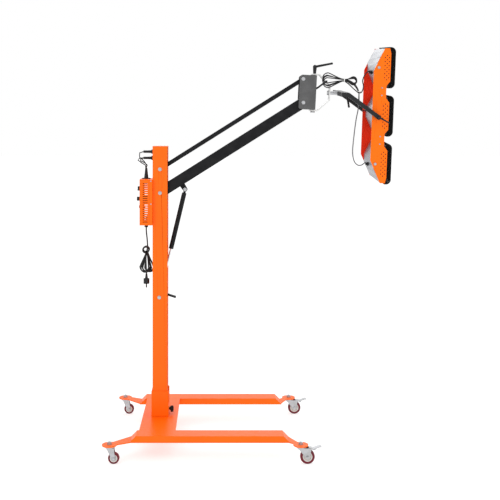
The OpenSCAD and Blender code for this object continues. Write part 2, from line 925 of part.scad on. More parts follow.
// The box between the boom's end and the swivel: two cheeks, a top, a floor and the swivel sleeve
module head_bracket() {
    cheek_y = bracket_w / 2 - bracket_t / 2;
    length = bracket_front - bracket_back;
    color(graphite)
        at_bracket()
            difference() {
                union() {
                    for (side = [-1, 1])
                        translate([0, side * cheek_y, 0]) {
                            sheet_outline([
                                [bracket_back, bracket_low + 6], [bracket_back + 6, bracket_low],
                                [bracket_front, bracket_low], [bracket_front, bracket_high],
                                [bracket_back + bracket_r, bracket_high],
                                [bracket_back, bracket_high - bracket_r]
                            ], bracket_t);
                            translate([bracket_back + bracket_r, 0, bracket_high - bracket_r])
                                cross_pin(bracket_r, bracket_t);
                        }
                    translate([bracket_back + bracket_r, -cheek_y, bracket_high - bracket_t])
                        cube([length - bracket_r, 2 * cheek_y, bracket_t]);
                    translate([20, -cheek_y, bracket_low])
                        cube([bracket_front - 20, 2 * cheek_y, bracket_t]);
                    translate([swivel_x, 0, bracket_low])
                        cylinder(r = swivel_r + 2.4, h = bracket_high - bracket_low);
                }
                translate([swivel_x, 0, bracket_low - 1])
                    cylinder(r = swivel_r + running, h = bracket_high - bracket_low + 2);
                cross_pin(arm_pin_r + plain, 2 * bracket_w);
                translate([upper_bolt[0], 0, upper_bolt[1]])
                    cross_pin(link_pin_r + plain, 2 * bracket_w);
            }
}

module bracket_bolts() {
    color(zinc)
        at_bracket() {
            cross_bolt(arm_pin_r, bracket_w, pivot_bolt_w);
            translate([upper_bolt[0], 0, upper_bolt[1]])
                cross_bolt(link_pin_r, bracket_w, pivot_bolt_w);
        }
}

// Side view of the bent strap's outer face, inset by t
module strap_side(t) {
    corner = 0.414 * t;
    polygon([
        [strap_back - 1, strap_low + t],
        [strap_front - strap_chamfer - corner, strap_low + t],
        [strap_front - t, strap_low + strap_chamfer + corner],
        [strap_front - t, strap_high - strap_chamfer - corner],
        [strap_front - strap_chamfer - corner, strap_high - t],
        [strap_back - 1, strap_high - t]
    ]);
}

// The strap that swings round the head bracket on the swivel bolt
module swivel_strap() {
    color(white)
        at_bracket()
            difference() {
                rotate([90, 0, 0])
                    linear_extrude(strap_w, center = true)
                        difference() {
                            strap_side(0);
                            strap_side(strap_t);
                            translate([strap_back - 2, strap_low - 1])
                                square([2, strap_high - strap_low + 2]);
                        }
                translate([swivel_x, 0, strap_low - 1])
                    cylinder(r = swivel_r + plain, h = strap_high - strap_low + 2);
                translate([strap_front - 20, 0, roll_z])
                    rotate([0, 90, 0])
                        cylinder(r = spindle_r + plain, h = 40);
            }
}

// The swivel bolt with its nut, and the roll spindle with its head and friction washer
module swivel_bolts() {
    color(graphite)
        at_bracket() {
            translate([swivel_x, 0, strap_low]) {
                translate([0, 0, -8])
                    cylinder(r = swivel_r, h = strap_high - strap_low + 26);
                translate([0, 0, -8])
                    hexagon(18, 8);
            }
            translate([strap_front, 0, roll_z])
                rotate([0, 90, 0]) {
                    translate([0, 0, -strap_t - 8])
                        hexagon(18, 8);
                    translate([0, 0, -strap_t - 8])
                        cylinder(r = spindle_r, h = 79);
                    cylinder(r = 9, h = yoke_x - yoke_deep / 2 - strap_front - gap);
                }
        }
}

// A clamping lever: a tapered hub along +Z with a raised handle towards +X
module clamp_lever(hub_r, hub_h, reach, rise, bore, depth) {
    difference() {
        union() {
            cylinder(r1 = hub_r * 0.72, r2 = hub_r, h = hub_h);
            translate([0, 0, hub_h])
                sphere(r = hub_r, $fn = 32);
            translate([0, 0, hub_h])
                rotate([0, 90 - rise, 0]) {
                    cylinder(r1 = hub_r * 0.62, r2 = hub_r * 0.5, h = reach);
                    translate([0, 0, reach])
                        sphere(r = hub_r * 0.58, $fn = 32);
                }
        }
        translate([0, 0, -1])
            cylinder(r = bore, h = depth + 1);
    }
}

module swivel_lever() {
    color(black)
        at_bracket()
            translate([swivel_x, 0, strap_high + gap])
                clamp_lever(9.5, 34, 82, 14, swivel_r + running, 20);
}

module roll_lever() {
    color(black)
        at_bracket()
            translate([yoke_x + yoke_deep / 2 + gap, 0, roll_z])
                rotate([0, 90, 0])
                    clamp_lever(9, 9, 62, 12, spindle_r + running, 13);
}

// A hollow rectangular tube with closed ends along +X, from x0 to x1
module closed_tube(wide, high, x0, x1) {
    difference() {
        translate([x0, -wide / 2, -high / 2])
            cube([x1 - x0, wide, high]);
        translate([x0 + arm_t, -wide / 2 + arm_t, -high / 2 + arm_t])
            cube([x1 - x0 - 2 * arm_t, wide - 2 * arm_t, high - 2 * arm_t]);
    }
}

// The yoke: a cross tube on the roll spindle and two side arms down to the tilt pivots
module yoke() {
    half = yoke_arm_y + yoke_wide / 2;
    root = 14;                    // the arms start this far ahead of the cross tube's middle
    fall = atan2(tilt_drop, tilt_forward - root);
    arm_run = norm([tilt_forward - root, tilt_drop]);
    color(graphite)
        at_yoke()
            difference() {
                union() {
                    translate([yoke_x, 0, 0])
                        rotate([0, 0, 90])
                            closed_tube(yoke_deep, yoke_high, -half, half);
                    for (side = [-1, 1])
                        translate([yoke_x + root, side * yoke_arm_y, 0])
                            rotate([0, fall, 0]) {
                                closed_tube(yoke_wide - 1, yoke_high - 1, 0, arm_run);
                                translate([arm_run, 0, 0])
                                    cross_pin(yoke_eye_r, yoke_wide - 1);
                            }
                }
                translate([strap_front, 0, 0])
                    rotate([0, 90, 0])
                        cylinder(r = spindle_r + running, h = 80);
                translate([yoke_x + tilt_forward, 0, -tilt_drop])
                    cross_pin(tilt_pin_r + running, 3 * lamp_w);
            }
}

// ---- Lamp ----

// Front edge of a side panel round one notch, from below to above
function notch(v) = [
    [panel_front, v - notch_half - notch_v], [panel_front - notch_u, v - notch_half],
    [panel_front - notch_u, v + notch_half], [panel_front, v + notch_half + notch_v]
];

module panel_outline() {
    polygon(concat(
        [[panel_back, panel_half - chamfer_v], [panel_back, -panel_half + chamfer_v]],
        [[panel_back + chamfer_u, -panel_half], [panel_front - 6, -panel_half]],
        [[panel_front, -panel_half + 25]],
        notch(-head_pitch / 2), notch(head_pitch / 2),
        [[panel_front, panel_half - 25], [panel_front - 6, panel_half], [panel_back + chamfer_u, panel_half]]
    ));
}

// One perforated side panel, centred on its own middle plane
module side_panel() {
    rotate([90, 0, 0])
        linear_extrude(panel_t, center = true)
            translate([0, lamp_rise])
                difference() {
                    panel_outline();
                    for (v = head_v) {
                        for (i = [-3:3])
                            translate([vent_u, v + i * vent_pitch])
                                circle(vent_r, $fn = 16);
                        for (i = [-2.5:2.5], side = [-1, 1])
                            translate([vent_u + side * vent_side, v + i * vent_pitch])
                                circle(vent_r, $fn = 16);
                    }
                    translate([0, -lamp_rise])
                        circle(tilt_pin_r + plain);
                    for (v = [-head_pitch, head_pitch])
                        translate([-4, v])
                            circle(4.2);
                }
}

module left_panel() {
    color(orange)
        at_lamp()
            translate([0, lamp_w / 2 - panel_t / 2, 0])
                side_panel();
}

module right_panel() {
    color(orange)
        at_lamp()
            translate([0, -lamp_w / 2 + panel_t / 2, 0])
                side_panel();
}

// Outline of a head's housing, inset by t; front is how far its open side reaches
function housing_outline(t, front) = [
    [housing_back + t, -20], [20 + t * 0.6, -86 + t], [30, -88 + t], [front, -88 + t],
    [front, 88 - t], [30, 88 - t], [20 + t * 0.6, 86 - t], [housing_back + t, 20]
];

// A hole through both side walls of a housing
module side_holes(r) {
    for (side = [-1, 1])
        translate([0, 0, side * housing_w / 2])
            cylinder(r = r, h = 6, center = true);
}

// The folded trough of each head, closed at its ends and open to the front
module head_housings() {
    color(zinc)
        at_lamp()
            for (v = head_v)
                translate([0, 0, v + lamp_rise])
                    rotate([90, 0, 0])
                        difference() {
                            linear_extrude(housing_w, center = true)
                                polygon(housing_outline(0, 42));
                            linear_extrude(housing_w - 2 * housing_t, center = true)
                                polygon(housing_outline(housing_t, 44));
                            translate([housing_back, gland_v(v) - v - lamp_rise, 0])
                                rotate([0, 90, 0])
                                    cylinder(r = 6 + plain, h = 12, center = true);
                            if (v == 0)
                                translate([0, -lamp_rise, 0])
                                    side_holes(8);
                            else
                                translate([-4, 0, 0])
                                    side_holes(4 + plain);
                        }
}

function dish(v, lift) = 2 + lift + v * v / 230;

// The polished parabolic trough behind each emitter
module reflectors() {
    half = 86;
    steps = 12;
    sheet = 1;
    rise = [for (i = [0:steps]) -half + 2 * half * i / steps];
    back = [for (v = rise) [dish(v, 0), v]];
    front = [for (i = [steps:-1:0]) [dish(rise[i], sheet), rise[i]]];
    color([0.9, 0.9, 0.92])
        at_lamp()
            for (v = head_v)
                translate([4, 0, v + lamp_rise])
                    rotate([90, 0, 0])
                        linear_extrude(housing_w - 12, center = true)
                            polygon(concat(back, front));
}

module emitters() {
    color([1.0, 0.75, 0.5])
        at_lamp()
            for (v = head_v)
                translate([emitter_u, 0, v + lamp_rise])
                    cross_pin(emitter_r, emitter_len);
}

// The ceramic ends that carry each quartz tube
module tube_ends() {
    end = housing_w / 2 - housing_t - emitter_len / 2;
    color(white)
        at_lamp()
            for (v = head_v, side = [-1, 1])
                translate([emitter_u, side * (emitter_len / 2 + end / 2), v + lamp_rise])
                    cube([14, end, 18], center = true);
}

// Side view of a guard wire: a D round the front of the head, t inside its outer face
module guard_side(t) {
    r = 22 - t;
    back = 44;
    high = guard_h / 2 - t;
    intersection() {
        translate([back, -high])
            square([guard_reach, 2 * high]);
        union() {
            translate([back, -high])
                square([guard_reach - t - r - back, 2 * high]);
            translate([back, -high + r])
                square([guard_reach - t - back, 2 * high - 2 * r]);
            for (side = [-1, 1])
                translate([guard_reach - t - r, side * (high - r)])
                    circle(r);
        }
    }
}

// A cage of bent wires over the front of each head, on a frame of cross rods
module guards() {
    wire = 3.2;
    wires = 12;
    span = housing_w - 6;
    color(black)
        at_lamp()
            for (v = head_v)
                translate([0, 0, v + lamp_rise]) {
                    for (i = [0:wires - 1])
                        translate([0, -span / 2 + span * i / (wires - 1), 0])
                            rotate([90, 0, 0])
                                linear_extrude(wire, center = true)
                                    difference() {
                                        guard_side(0);
                                        translate([-0.2, 0])
                                            guard_side(wire);
                                        translate([40, -guard_h / 2 + wire])
                                            square([8, guard_h - 2 * wire]);
                                    }
                    for (side = [-1, 1])
                        translate([39, -span / 2 - 3, side * 91.5 - 3.5])
                            cube([6, span + 6, 7]);
                    for (z = [-30, 30])
                        translate([guard_reach - wire - 1.4, -span / 2, z - 1.5])
                            cube([3, span, 3]);
                }
}

// The cable gland on the back of each head
module lamp_glands() {
    color(black)
        at_lamp()
            for (v = head_v)
                translate([housing_back, 0, gland_v(v)])
                    rotate([0, -90, 0]) {
                        hexagon(17, 6);
                        cylinder(r1 = 7, r2 = 4.5, h = 14);
                        translate([0, 0, -6])
                            cylinder(r = 6, h = 6);
                    }
}

// Screws through the side panels into the heads
module panel_bolts() {
    color(zinc)
        at_lamp()
            for (side = [-1, 1])
                translate([0, side * lamp_w / 2, 0])
                    rotate([side * -90, 0, 0]) {
                        for (v = [-head_pitch, head_pitch])
                            translate([-4, -side * (v + lamp_rise), -6]) {
                                cylinder(r = 4, h = 8);
                                translate([0, 0, 6])
                                    cylinder(r1 = 8, r2 = 6, h = 4);
                            }
                        for (v = [-130, -95, 95, 130])
                            translate([14, -side * (v + lamp_rise), 0])
                                cylinder(r1 = 4.5, r2 = 3, h = 2.4);
                    }
}

// The tilt pivots through the yoke's arms and the side panels
module tilt_bolts() {
    color(zinc)
        at_lamp()
            for (side = [-1, 1])
                translate([0, side * (lamp_w / 2 - panel_t), 0])
                    rotate([side * -90, 0, 0]) {
                        translate([0, 0, -6])
                            cylinder(r = tilt_pin_r, h = 6 + panel_t + yoke_arm_gap + yoke_wide + 12);
                        translate([0, 0, -6])
                            hexagon(13, 6);
                        translate([0, 0, panel_t])
                            cylinder(r = 10, h = yoke_arm_gap - gap);
                        if (side > 0)
                            translate([0, 0, panel_t + yoke_arm_gap + yoke_wide + gap])
                                hexagon(13, 7);
                    }
}

module tilt_lever() {
    color(black)
        at_lamp()
            translate([0, -lamp_w / 2 - yoke_arm_gap - yoke_wide - gap, 0])
                rotate([90, 0, 0])
                    rotate(-27)
                        clamp_lever(6.5, 14, 48, 8, tilt_pin_r + running, 12);
}

// ---- Leads and cords ----

module lamp_leads() {
    color(black)
        at_bracket() {
            cord(feed_route, 2 * lead_d);
            cord(trunk_route, 2 * lead_d);
            cord(top_lead, lead_d);
            cord(middle_lead, lead_d);
            cord(bottom_lead, lead_d);
        }
}

// A tied hank as one block t thick, centred on its tie: ends gives each end's middle and radius
module hank(ends, tie_w, tie_h, t) {
    rotate([90, 0, 0])
        linear_extrude(t, center = true)
            for (end = ends)
                hull() {
                    square([tie_w, tie_h], center = true);
                    translate([end[0], end[1]])
                        circle(end[2], $fn = 32);
                }
}

// The tied hank of spare lamp lead beside the strap
module lead_hank() {
    color(black)
        at_bracket()
            translate(lead_tie)
                hank(lead_hank_ends, tie_w, lead_tie_h, lead_hank_t);
}

// The ties round the hank and round the leads where they part
module cable_ties() {
    tie_t = 1.2;
    ring_r = 9;
    color(white)
        at_bracket() {
            translate(lead_tie)
                difference() {
                    cube([tie_w, lead_hank_t + 2 * tie_t, lead_tie_h + 2 * tie_t], center = true);
                    cube([2 * tie_w, lead_hank_t, lead_tie_h], center = true);
                }
            translate([263, -14, 66])
                difference() {
                    cylinder(r = ring_r, h = tie_w, center = true);
                    cylinder(r = ring_r - tie_t, h = 2 * tie_w, center = true);
                }
        }
}

module control_leads() {
    color(black)
        for (route = lead_routes)
            cord(route, lead_d);
}

module mains_cord() {
    color(black)
        cord(mains_route, mains_d);
}

// The wound and tied spare length of the mains cord
module mains_hank() {
    color(black)
        translate(mains_tie)
            hank(mains_hank_ends, mains_tie_w, tie_w, hank_t);
}

// The round moulded plug with its strain relief and two pins
module mains_plug() {
    color(black)
        translate(plug_top) {
            translate([0, 0, -24])
                cylinder(r1 = 7, r2 = 4, h = 24);
            translate([0, 0, -48])
                cylinder(r = 14, h = 24);
            for (y = [-9.5, 9.5])
                translate([0, y, -66])
                    cylinder(r = 2.4, h = 18);
        }
}

// ---- Nodes ----

left_rail();
right_rail();
cross_plate();
column_socket();
column();
chassis_bolts();
switch_housing();
control_tray();
control_cover();
control_board();
cable_glands();
cable_ties();
socket_knob();
rocker_switch();
timer_knob();
fuse_cap();
fork(true, 1);  // front_left_fork
fork(true, -1);  // front_right_fork
fork(false, 1);  // rear_left_fork
fork(false, -1);  // rear_right_fork
tyre(true, 1);  // front_left_tyre
tyre(true, -1);  // front_right_tyre
tyre(false, 1);  // rear_left_tyre
tyre(false, -1);  // rear_right_tyre
hub(true, 1);  // front_left_hub
hub(true, -1);  // front_right_hub
hub(false, 1);  // rear_left_hub
hub(false, -1);  // rear_right_hub
brake_pedal(1);  // left_brake_pedal
brake_pedal(-1);  // right_brake_pedal
main_arm();
upper_link();
spring_cylinder();
spring_rod();
release_lever();
spring_pin();
head_bracket();
bracket_bolts();
swivel_strap();
swivel_bolts();
swivel_lever();
roll_lever();
yoke();
tilt_bolts();
tilt_lever();
left_panel();
right_panel();
head_housings();
reflectors();
emitters();
tube_ends();
guards();
lamp_glands();
panel_bolts();
lamp_leads();
lead_hank();
control_leads();
mains_cord();
mains_hank();
mains_plug();
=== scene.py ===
"""The looks of a mobile paint-curing lamp: finishes, wire guards, filaments, leads and the mains cord."""

import json
import math

import bpy
from mathutils import Matrix, Vector


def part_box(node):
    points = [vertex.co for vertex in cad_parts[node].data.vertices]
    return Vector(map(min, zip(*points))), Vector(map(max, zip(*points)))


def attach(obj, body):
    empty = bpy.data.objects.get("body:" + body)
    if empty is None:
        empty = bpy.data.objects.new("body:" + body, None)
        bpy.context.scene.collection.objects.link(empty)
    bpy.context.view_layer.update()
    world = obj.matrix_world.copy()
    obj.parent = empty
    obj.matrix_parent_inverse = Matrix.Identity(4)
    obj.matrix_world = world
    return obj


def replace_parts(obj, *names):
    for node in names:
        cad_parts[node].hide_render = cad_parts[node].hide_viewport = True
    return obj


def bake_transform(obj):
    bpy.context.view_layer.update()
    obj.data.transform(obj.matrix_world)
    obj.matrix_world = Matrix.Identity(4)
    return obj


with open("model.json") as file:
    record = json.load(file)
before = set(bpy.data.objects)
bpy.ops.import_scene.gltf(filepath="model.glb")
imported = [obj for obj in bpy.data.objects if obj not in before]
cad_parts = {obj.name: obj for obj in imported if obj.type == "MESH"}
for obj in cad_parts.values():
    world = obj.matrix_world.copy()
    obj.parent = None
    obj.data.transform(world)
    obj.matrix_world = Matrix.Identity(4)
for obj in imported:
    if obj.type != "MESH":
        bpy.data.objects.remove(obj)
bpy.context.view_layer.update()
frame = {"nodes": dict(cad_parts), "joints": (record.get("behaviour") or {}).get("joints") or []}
nodes = frame["nodes"]
joints = {j["name"]: j for j in frame["joints"]}
MM = 0.001


# ---- Camera ----

def make_camera():
    """A level lens with the machine seen from its right side, standing back about two lengths."""
    data = bpy.data.cameras.new("camera")
    data.lens = 66.0
    data.sensor_width = 36.0
    data.shift_x = 0.064
    data.shift_y = -0.248
    data.clip_end = 60.0
    camera = bpy.data.objects.new("camera", data)
    camera.location = (-0.1505, -4.365, 1.478)
    camera.rotation_euler = (math.radians(90), 0, 0)
    bpy.context.scene.collection.objects.link(camera)
    bpy.context.scene.camera = camera


make_camera()


# ---- Materials ----

class Finish:
    """A node material that grows from one Principled shader."""

    def __init__(self, name, colour, roughness, metallic=0.0):
        self.material = bpy.data.materials.new(name)
        self.material.use_nodes = True
        self.tree = self.material.node_tree
        self.shader = self.tree.nodes["Principled BSDF"]
        self.shader.inputs["Base Color"].default_value = (*colour, 1.0)
        self.shader.inputs["Roughness"].default_value = roughness
        self.shader.inputs["Metallic"].default_value = metallic
        self.colour = colour
        self.roughness = roughness
        self.place = self.tree.nodes.new("ShaderNodeTexCoord").outputs["Object"]

    def noise(self, scale, detail=3.0, stretch=None):
        """Noise with scale features to the metre, drawn out along an axis where stretch is below 1."""
        node = self.tree.nodes.new("ShaderNodeTexNoise")
        node.inputs["Scale"].default_value = scale
        node.inputs["Detail"].default_value = detail
        source = self.place
        if stretch:
            mapping = self.tree.nodes.new("ShaderNodeMapping")
            mapping.inputs["Scale"].default_value = stretch
            self.tree.links.new(source, mapping.inputs["Vector"])
            source = mapping.outputs["Vector"]
        self.tree.links.new(source, node.inputs["Vector"])
        return node.outputs["Fac"]

    def spread(self, value, low, high, start=0.3, end=0.7):
        """value from start to end becomes low to high."""
        node = self.tree.nodes.new("ShaderNodeMapRange")
        node.inputs["From Min"].default_value = start
        node.inputs["From Max"].default_value = end
        node.inputs["To Min"].default_value = low
        node.inputs["To Max"].default_value = high
        self.tree.links.new(value, node.inputs["Value"])
        return node.outputs["Result"]

    def vary_roughness(self, scale, amount, stretch=None):
        low = max(0.02, self.roughness - amount)
        grain = self.spread(self.noise(scale, stretch=stretch), low, self.roughness + amount)
        self.tree.links.new(grain, self.shader.inputs["Roughness"])
        return self

    def vary_colour(self, other, scale, start=0.35, end=0.75, stretch=None):
        """Patches of a second colour, a few to the stretch that scale sets."""
        mix = self.tree.nodes.new("ShaderNodeMix")
        mix.data_type = "RGBA"
        mix.inputs["A"].default_value = (*self.colour, 1.0)
        mix.inputs["B"].default_value = (*other, 1.0)
        patches = self.spread(self.noise(scale, stretch=stretch), 0.0, 1.0, start, end)
        self.tree.links.new(patches, mix.inputs["Factor"])
        self.tree.links.new(mix.outputs["Result"], self.shader.inputs["Base Color"])
        return self

    def bump(self, scale, height, stretch=None):
        """Relief of that height, in metres."""
        node = self.tree.nodes.new("ShaderNodeBump")
        node.inputs["Distance"].default_value = height
        self.tree.links.new(self.noise(scale, stretch=stretch), node.inputs["Height"])
        self.tree.links.new(node.outputs["Normal"], self.shader.inputs["Normal"])
        return self

    def sides(self, other, way):
        """A second colour on the faces that look along +Y (way 1), -Y (way -1) or either (way 0)."""
        split = self.tree.nodes.new("ShaderNodeSeparateXYZ")
        coordinates = self.tree.nodes.new("ShaderNodeTexCoord")
        self.tree.links.new(coordinates.outputs["Normal"], split.inputs["Vector"])
        lean = self.tree.nodes.new("ShaderNodeMath")
        lean.operation = "MULTIPLY" if way else "ABSOLUTE"
        lean.inputs[1].default_value = way
        self.tree.links.new(split.outputs["Y"], lean.inputs[0])
        mix = self.tree.nodes.new("ShaderNodeMix")
        mix.data_type = "RGBA"
        mix.inputs["A"].default_value = (*self.colour, 1.0)
        mix.inputs["B"].default_value = (*other, 1.0)
        self.tree.links.new(self.spread(lean.outputs["Value"], 0.0, 1.0, 0.8, 0.9), mix.inputs["Factor"])
        self.tree.links.new(mix.outputs["Result"], self.shader.inputs["Base Color"])
        return self

    def shine(self, level):
        """How strongly the surface mirrors: 0.5 is ordinary plastic."""
        self.shader.inputs["Specular IOR Level"].default_value = level
        return self


def orange_paint(name, colour, deep):
    finish = Finish(name, colour, 0.36).shine(0.18).vary_roughness(60, 0.04).vary_colour(deep, 5, 0.4, 0.9)
    return finish.bump(500, 0.000012).material


def panel_paint_with_inner_shade(name, inward):
    """Orange outside, with a deeper red painted shade on the face that looks into the lamp."""
    finish = Finish(name, (0.94, 0.15, 0.001), 0.36).shine(0.15).vary_roughness(60, 0.04)
    # The deeper red on the face that looks into the lamp is painted shade.
    return finish.sides((0.8, 0.025, 0.004), inward).bump(500, 0.000012).material


def black_powder():
    finish = Finish("black powder coat", (0.006, 0.006, 0.007), 0.5).shine(0.14).vary_roughness(120, 0.04)
    return finish.vary_colour((0.013, 0.013, 0.014), 30).bump(900, 0.00002).material


def grey_powder(name, colour):
    finish = Finish(name, colour, 0.5).shine(0.18).vary_roughness(120, 0.04)
    paler = tuple(c * 1.3 for c in colour)
    return finish.vary_colour(paler, 25).bump(900, 0.00002).material


def guard_wire():
    finish = Finish("guard wire", (0.004, 0.004, 0.004), 0.6).shine(0.08).vary_roughness(120, 0.05)
    return finish.vary_colour((0.008, 0.008, 0.008), 30).bump(900, 0.00001).material


def white_enamel():
    finish = Finish("white enamel", (0.72, 0.72, 0.71), 0.3).vary_roughness(80, 0.04)
    return finish.vary_colour((0.66, 0.66, 0.65), 14).bump(500, 0.00001).material


def zinc_plate():
    finish = Finish("zinc plate", (0.5, 0.51, 0.53), 0.33, 1.0).vary_roughness(220, 0.08)
    return finish.vary_colour((0.4, 0.4, 0.4), 60).bump(700, 0.00001).material


def mill_sheet():
    """Aluminised sheet with its rolling lines across the machine, and painted shade on the side walls."""
    finish = Finish("mill sheet", (0.3, 0.31, 0.33), 0.4, 0.7).shine(0.2)
    finish.vary_roughness(60, 0.07, (1.0, 0.05, 1.0))
    # The near-black on the walls that face along Y is painted shade.
    return finish.sides((0.05, 0.035, 0.03), 0).bump(300, 0.00001, (1.0, 0.04, 1.0)).material


def polished_sheet():
    finish = Finish("polished reflector", (0.86, 0.86, 0.87), 0.1, 1.0)
    return finish.vary_roughness(30, 0.04).bump(25, 0.0001).material


def polished_rod():
    finish = Finish("polished rod", (0.7, 0.71, 0.72), 0.14, 1.0)
    return finish.vary_roughness(400, 0.04, (1.0, 1.0, 0.1)).bump(900, 0.000005).material


def moulded(name, colour, roughness):
    finish = Finish(name, colour, roughness).shine(0.22).vary_roughness(200, 0.05)
    paler = tuple(min(1.0, c * 1.15 + 0.002) for c in colour)
    return finish.vary_colour(paler, 80).bump(1500, 0.00001).material


def cord_jacket(name, colour):
    finish = Finish(name, colour, 0.5).shine(0.3).vary_roughness(200, 0.05)
    paler = tuple(c * 1.3 + 0.003 for c in colour)
    return finish.vary_colour(paler, 50).bump(1200, 0.00001).material


def tread():
    finish = Finish("maroon tread", (0.12, 0.004, 0.012), 0.45).shine(0.3).vary_roughness(120, 0.06)
    return finish.vary_colour((0.15, 0.01, 0.02), 35, 0.45, 0.8).bump(600, 0.00002).material


def quartz():
    finish = Finish("quartz", (1.0, 0.98, 0.95), 0.03).vary_roughness(40, 0.02)
    finish.shader.inputs["Transmission Weight"].default_value = 1.0
    finish.shader.inputs["IOR"].default_value = 1.46
    return finish.material


def filament():
    return Finish("tungsten", (0.35, 0.33, 0.3), 0.4, 1.0).vary_roughness(500, 0.1).material


def ceramic():
    finish = Finish("ceramic", (0.78, 0.76, 0.71), 0.5).vary_roughness(120, 0.1)
    return finish.vary_colour((0.66, 0.62, 0.54), 60, 0.5, 0.9).bump(800, 0.0001).material


def circuit_board():
    return Finish("circuit board", (0.02, 0.12, 0.05), 0.4).vary_colour((0.05, 0.2, 0.08), 150).material


LEFT_RIGHT = ("left", "right")
CORNERS = [f"{end}_{side}" for end in ("front", "rear") for side in LEFT_RIGHT]

base_orange = orange_paint("orange paint", (0.92, 0.132, 0.001), (0.87, 0.112, 0.001))
powder = black_powder()
enamel = white_enamel()
zinc = zinc_plate()
sheet = mill_sheet()
mirror = polished_sheet()
plastic = moulded("black plastic", (0.011, 0.011, 0.012), 0.4)
pale_plastic = moulded("pale plastic", (0.6, 0.58, 0.55), 0.45)
nylon = moulded("white nylon", (0.78, 0.78, 0.76), 0.4)
black_jacket = cord_jacket("black cord", (0.008, 0.008, 0.009))
grey_jacket = cord_jacket("grey lead", (0.12, 0.12, 0.125))

WEAR = {
    base_orange: ["left_rail", "right_rail", "cross_plate", "column_socket", "column", "control_tray",
                  "control_cover"],
    panel_paint_with_inner_shade("left panel paint with painted shade", -1): ["left_panel"],
    panel_paint_with_inner_shade("right panel paint with painted shade", 1): ["right_panel"],
    powder: ["main_arm", "upper_link", "spring_cylinder"],
    grey_powder("graphite powder coat", (0.085, 0.085, 0.086)): ["head_bracket"],
    grey_powder("dark powder coat", (0.016, 0.017, 0.018)): ["yoke"],
    enamel: ["swivel_strap"],
    zinc: ["chassis_bolts", "spring_pin", "bracket_bolts", "swivel_bolts", "panel_bolts", "tilt_bolts",
           "left_brake_pedal", "right_brake_pedal"] + [f"{c}_fork" for c in CORNERS],
    polished_rod(): ["spring_rod"],
    sheet: ["head_housings"],
    mirror: ["reflectors"],
    plastic: ["switch_housing", "fuse_cap", "cable_glands", "lamp_glands", "timer_knob", "socket_knob",
              "release_lever", "swivel_lever", "roll_lever", "tilt_lever", "rocker_switch"],
    nylon: ["cable_ties"],
    ceramic(): ["tube_ends"],
    quartz(): ["emitters"],
    circuit_board(): ["control_board"],
    pale_plastic: [f"{c}_hub" for c in CORNERS],
    tread(): [f"{c}_tyre" for c in CORNERS],
    black_jacket: ["mains_plug", "control_leads"],
}

# Edge rounding of the CAD nodes, in metres; sheet metal is folded or cut, castings and mouldings are softer
SOFT_EDGES = {
    "left_rail": 0.0025, "right_rail": 0.0025, "column": 0.0011, "column_socket": 0.0018,
    "control_cover": 0.0007, "main_arm": 0.0009, "upper_link": 0.0009, "yoke": 0.0009,
    "socket_knob": 0.002, "release_lever": 0.0018, "mains_plug": 0.0015,
}
PLAIN_EDGE = 0.0004


def dress(name, material):
    """Gives a CAD node its finish, welded seams, rounded edges and even shading."""
    node = nodes[name]
    mesh = node.data
    mesh.materials.clear()
    mesh.materials.append(material)
    if "custom_normal" in mesh.attributes:
        mesh.attributes.remove(mesh.attributes["custom_normal"])
    mesh.polygons.foreach_set("use_smooth", [True] * len(mesh.polygons))
    weld = node.modifiers.new("weld", "WELD")
    weld.merge_threshold = 0.00001
    bevel = node.modifiers.new("edges", "BEVEL")
    bevel.width = SOFT_EDGES.get(name, PLAIN_EDGE)
    bevel.segments = 2
    bevel.limit_method = "ANGLE"
    bevel.angle_limit = math.radians(32)
    bevel.use_clamp_overlap = True
    node.modifiers.new("shading", "WEIGHTED_NORMAL").weight = 60


for material, names in WEAR.items():
    for name in names:
        dress(name, material)


# ---- Pieces made as tubes ----

def smooth_route(points, steps=6):
    """A curve through the points, with steps points to each stretch."""
    route = [Vector(p) for p in points]
    ends = [2 * route[0] - route[1]] + route + [2 * route[-1] - route[-2]]
    out = []
    for i in range(1, len(ends) - 2):
        a, b, c, d = ends[i - 1:i + 3]
        for k in range(steps):
            t = k / steps
            out.append(0.5 * (2 * b + (c - a) * t + (2 * a - 5 * b + 4 * c - d) * t * t
                              + (3 * b - a - 3 * c + d) * t ** 3))
    return out + [route[-1]]


def tube(name, routes, diameter, material, sides=12):
    """One mesh of round tubes along the routes, closed at their ends."""
    vertices = []
    faces = []
    for route in routes:
        start = len(vertices)
        side = None
        for i, point in enumerate(route):
            ahead = (route[min(i + 1, len(route) - 1)] - route[max(i - 1, 0)]).normalized()
            if side is None:
                side = ahead.orthogonal().normalized()
            side = (side - ahead * side.dot(ahead)).normalized()
            up = ahead.cross(side)
            for k in range(sides):
                turn = 2 * math.pi * k / sides
                vertices.append(point + (side * math.cos(turn) + up * math.sin(turn)) * diameter / 2)
        for i in range(len(route) - 1):
            for k in range(sides):
                a = start + i * sides + k
                b = start + i * sides + (k + 1) % sides
                faces.append((a, b, b + sides, a + sides))
        faces.append(tuple(start + k for k in reversed(range(sides))))
        faces.append(tuple(len(vertices) - sides + k for k in range(sides)))
    mesh = bpy.data.meshes.new(name)
    mesh.from_pydata([tuple(v) for v in vertices], [], faces)
    mesh.polygons.foreach_set("use_smooth", [len(f) == 4 for f in faces])
    mesh.materials.append(material)
    piece = bpy.data.objects.new(name, mesh)
    bpy.context.scene.collection.objects.link(piece)
    return piece


def lobe(length, radius, pinch, turn, steps=8):
    """One end of a tied loop, as pairs (along, across): from the tie round the end and back to it."""
    reach = length - radius
    half_arc = math.pi / 2 + math.asin((radius - pinch) / reach)
    arc = [-half_arc + 2 * half_arc * k / steps for k in range(steps + 1)]
    points = [(reach + radius * math.cos(a), radius * math.sin(a)) for a in arc]
    c, s = math.cos(math.radians(turn)), math.sin(math.radians(turn))
    return [(x * c - y * s, x * s + y * c) for x, y in points]


